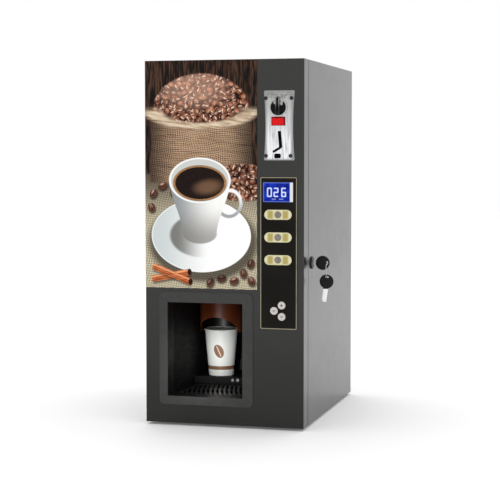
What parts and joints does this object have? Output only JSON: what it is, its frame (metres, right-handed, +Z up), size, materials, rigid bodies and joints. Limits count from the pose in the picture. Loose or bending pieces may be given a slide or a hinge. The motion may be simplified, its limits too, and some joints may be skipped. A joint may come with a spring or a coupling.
{
  "type": "hot drink vending machine",
  "caption": "Tabletop coin-operated hot drink vending machine with hinged front door, cup delivery bay, coin acceptor, side key lock, powder canisters, mixers and boiler inside.",
  "frame": {"origin": "on the floor under the centre of the cabinet footprint", "axes": "+X to the right seen from the front, +Y towards the back, +Z up"},
  "size_m": [0.3517, 0.4645, 0.68],
  "materials": {
    "cabinet_paint": "fine satin powder coat",
    "inner_sheet": "plain zinc-plated sheet",
    "liner_black": "moulded black",
    "bay_frame_grey": "satin moulded plastic",
    "chute_tint": "tinted clear plastic",
    "overlay_black": "gloss overlay",
    "picture_print": "printed gloss sheet",
    "trim_gold": "satin",
    "label_gold": "pale gold gloss",
    "chrome": "polished casting",
    "return_red": "gloss",
    "button_grey": "satin",
    "button_silver": "satin metallised",
    "lcd_blue": "backlit display",
    "key_black": "moulded key head and blade",
    "bright_steel": "nickel plated",
    "rubber_black": "moulded",
    "clear_plastic": "clear tube",
    "white_plastic": "food-grade moulding",
    "motor_metal": "satin",
    "boiler_jacket": null,
    "brass": "machined",
    "silicone": "translucent silicone",
    "board_green": "circuit board",
    "paper_cup": "coated paper"
  },
  "bodies": {
    "cabinet": {"base_pan": "cabinet_paint", "left_side_panel": "cabinet_paint", "right_side_panel": "cabinet_paint", "top_panel": "cabinet_paint", "rear_panel": "cabinet_paint", "machine_frame": "inner_sheet", "power_box": "inner_sheet", "bay_liner": "liner_black", "cup_platform": "liner_black", "mains_inlet": "liner_black", "nozzle_block": "liner_black", "cup_dispenser_base": "liner_black", "drop_chute": "chute_tint", "lock_housing": "bright_steel", "cabinet_screws": "bright_steel", "cabinet_hinge_leaves": "bright_steel", "feet": "rubber_black", "cup_tube": "clear_plastic", "canisters": "white_plastic", "mixing_bowls": "white_plastic", "drive_motors": "motor_metal", "water_pump": "motor_metal", "boiler": "boiler_jacket", "boiler_valves": "brass", "hoses": "silicone"},
    "door": {"door_panel": "cabinet_paint", "picture_panel": "picture_print", "bay_frame": "bay_frame_grey", "display_panel": "overlay_black", "display_trim": "trim_gold", "lcd_module": "lcd_blue", "label_plates": "label_gold", "control_board": "board_green", "coin_plate": "chrome", "coin_plate_screws": "bright_steel", "coin_mechanism": "liner_black", "door_hinge_leaves": "bright_steel"},
    "drip_tray": {"drip_tray": "liner_black"},
    "drip_grille": {"drip_grille": "liner_black"},
    "cup": {"cup": "paper_cup"},
    "coin_box": {"coin_box": "motor_metal"},
    "return_button": {"return_button": "return_red"},
    "lock": {"lock_plug": "bright_steel", "key": "key_black"},
    "spare_key": {"key_ring": "bright_steel", "spare_key": "key_black"},
    "canister_cover": {"canister_cover": "clear_plastic"},
    "cup_drop_ring": {"cup_drop_ring": "white_plastic"},
    "select_button_1": {"select_button_1": "button_grey"},
    "menu_button_1": {"menu_button_1": "button_silver"},
    "auger_1": {"auger_1": "white_plastic"},
    "whipper_1": {"whipper_1": "white_plastic"},
    "select_button_2": {"select_button_2": "button_grey"},
    "menu_button_2": {"menu_button_2": "button_silver"},
    "auger_2": {"auger_2": "white_plastic"},
    "whipper_2": {"whipper_2": "white_plastic"},
    "select_button_3": {"select_button_3": "button_grey"},
    "menu_button_3": {"menu_button_3": "button_silver"},
    "auger_3": {"auger_3": "white_plastic"},
    "whipper_3": {"whipper_3": "white_plastic"}
  },
  "joints": [
    {"name": "door_swing", "type": "hinge", "parent": "cabinet", "child": "door", "pos_m": [-0.1553, -0.18425, 0.34], "axis": [0, 0, -1], "range_deg": [0, 110]},
    {"name": "select_1_press", "type": "slide", "parent": "door", "child": "select_button_1", "axis": [0, 1, 0], "range_m": [0, 0.0012], "stiffness_N_per_m": 900, "springref_m": -0.0006},
    {"name": "select_2_press", "type": "slide", "parent": "door", "child": "select_button_2", "axis": [0, 1, 0], "range_m": [0, 0.0012], "stiffness_N_per_m": 900, "springref_m": -0.0006},
    {"name": "select_3_press", "type": "slide", "parent": "door", "child": "select_button_3", "axis": [0, 1, 0], "range_m": [0, 0.0012], "stiffness_N_per_m": 900, "springref_m": -0.0006},
    {"name": "menu_1_press", "type": "slide", "parent": "door", "child": "menu_button_1", "axis": [0, 1, 0], "range_m": [0, 0.0012], "stiffness_N_per_m": 900, "springref_m": -0.0006},
    {"name": "menu_2_press", "type": "slide", "parent": "door", "child": "menu_button_2", "axis": [0, 1, 0], "range_m": [0, 0.0012], "stiffness_N_per_m": 900, "springref_m": -0.0006},
    {"name": "menu_3_press", "type": "slide", "parent": "door", "child": "menu_button_3", "axis": [0, 1, 0], "range_m": [0, 0.0012], "stiffness_N_per_m": 900, "springref_m": -0.0006},
    {"name": "coin_return_press", "type": "slide", "parent": "door", "child": "return_button", "axis": [0, 1, 0], "range_m": [0, 0.0025], "stiffness_N_per_m": 600, "springref_m": -0.001},
    {"name": "coin_box_remove", "type": "slide", "parent": "door", "child": "coin_box", "axis": [0, 1, 0], "range_m": [0, 0.05]},
    {"name": "lock_turn", "type": "hinge", "parent": "cabinet", "child": "lock", "pos_m": [0.152, -0.155, 0.306], "axis": [-1, 0, 0], "range_deg": [0, 90]},
    {"name": "spare_key_swing", "type": "hinge", "parent": "lock", "child": "spare_key", "pos_m": [0.1816, -0.155, 0.306], "axis": [0, 1, 0], "range_deg": [-60, 12]},
    {"name": "tray_lift", "type": "slide", "parent": "cabinet", "child": "drip_tray", "axis": [0, 0, 1], "range_m": [0, 0.05]},
    {"name": "grille_lift", "type": "slide", "parent": "drip_tray", "child": "drip_grille", "axis": [0, 0, 1], "range_m": [0, 0.04]},
    {"name": "cup_take", "type": "slide", "parent": "cabinet", "child": "cup", "axis": [0, -1, 0], "range_m": [0, 0.27]},
    {"name": "cover_lift", "type": "slide", "parent": "cabinet", "child": "canister_cover", "axis": [0, 0, 1], "range_m": [0, 0.028]},
    {"name": "auger_1_spin", "type": "hinge", "parent": "cabinet", "child": "auger_1", "pos_m": [-0.092, 0.13, 0.478], "axis": [0, 1, 0], "continuous": true},
    {"name": "auger_2_spin", "type": "hinge", "parent": "cabinet", "child": "auger_2", "pos_m": [0, 0.13, 0.478], "axis": [0, 1, 0], "continuous": true},
    {"name": "auger_3_spin", "type": "hinge", "parent": "cabinet", "child": "auger_3", "pos_m": [0.092, 0.13, 0.478], "axis": [0, 1, 0], "continuous": true},
    {"name": "whipper_1_spin", "type": "hinge", "parent": "cabinet", "child": "whipper_1", "pos_m": [-0.092, 0.09, 0.392], "axis": [0, 1, 0], "continuous": true},
    {"name": "whipper_2_spin", "type": "hinge", "parent": "cabinet", "child": "whipper_2", "pos_m": [0, 0.09, 0.392], "axis": [0, 1, 0], "continuous": true},
    {"name": "whipper_3_spin", "type": "hinge", "parent": "cabinet", "child": "whipper_3", "pos_m": [0.092, 0.09, 0.392], "axis": [0, 1, 0], "continuous": true},
    {"name": "drop_ring_turn", "type": "hinge", "parent": "cabinet", "child": "cup_drop_ring", "pos_m": [-0.07, 0.005, 0.267], "axis": [0, 0, 1], "range_deg": [0, 60]}
  ]
}
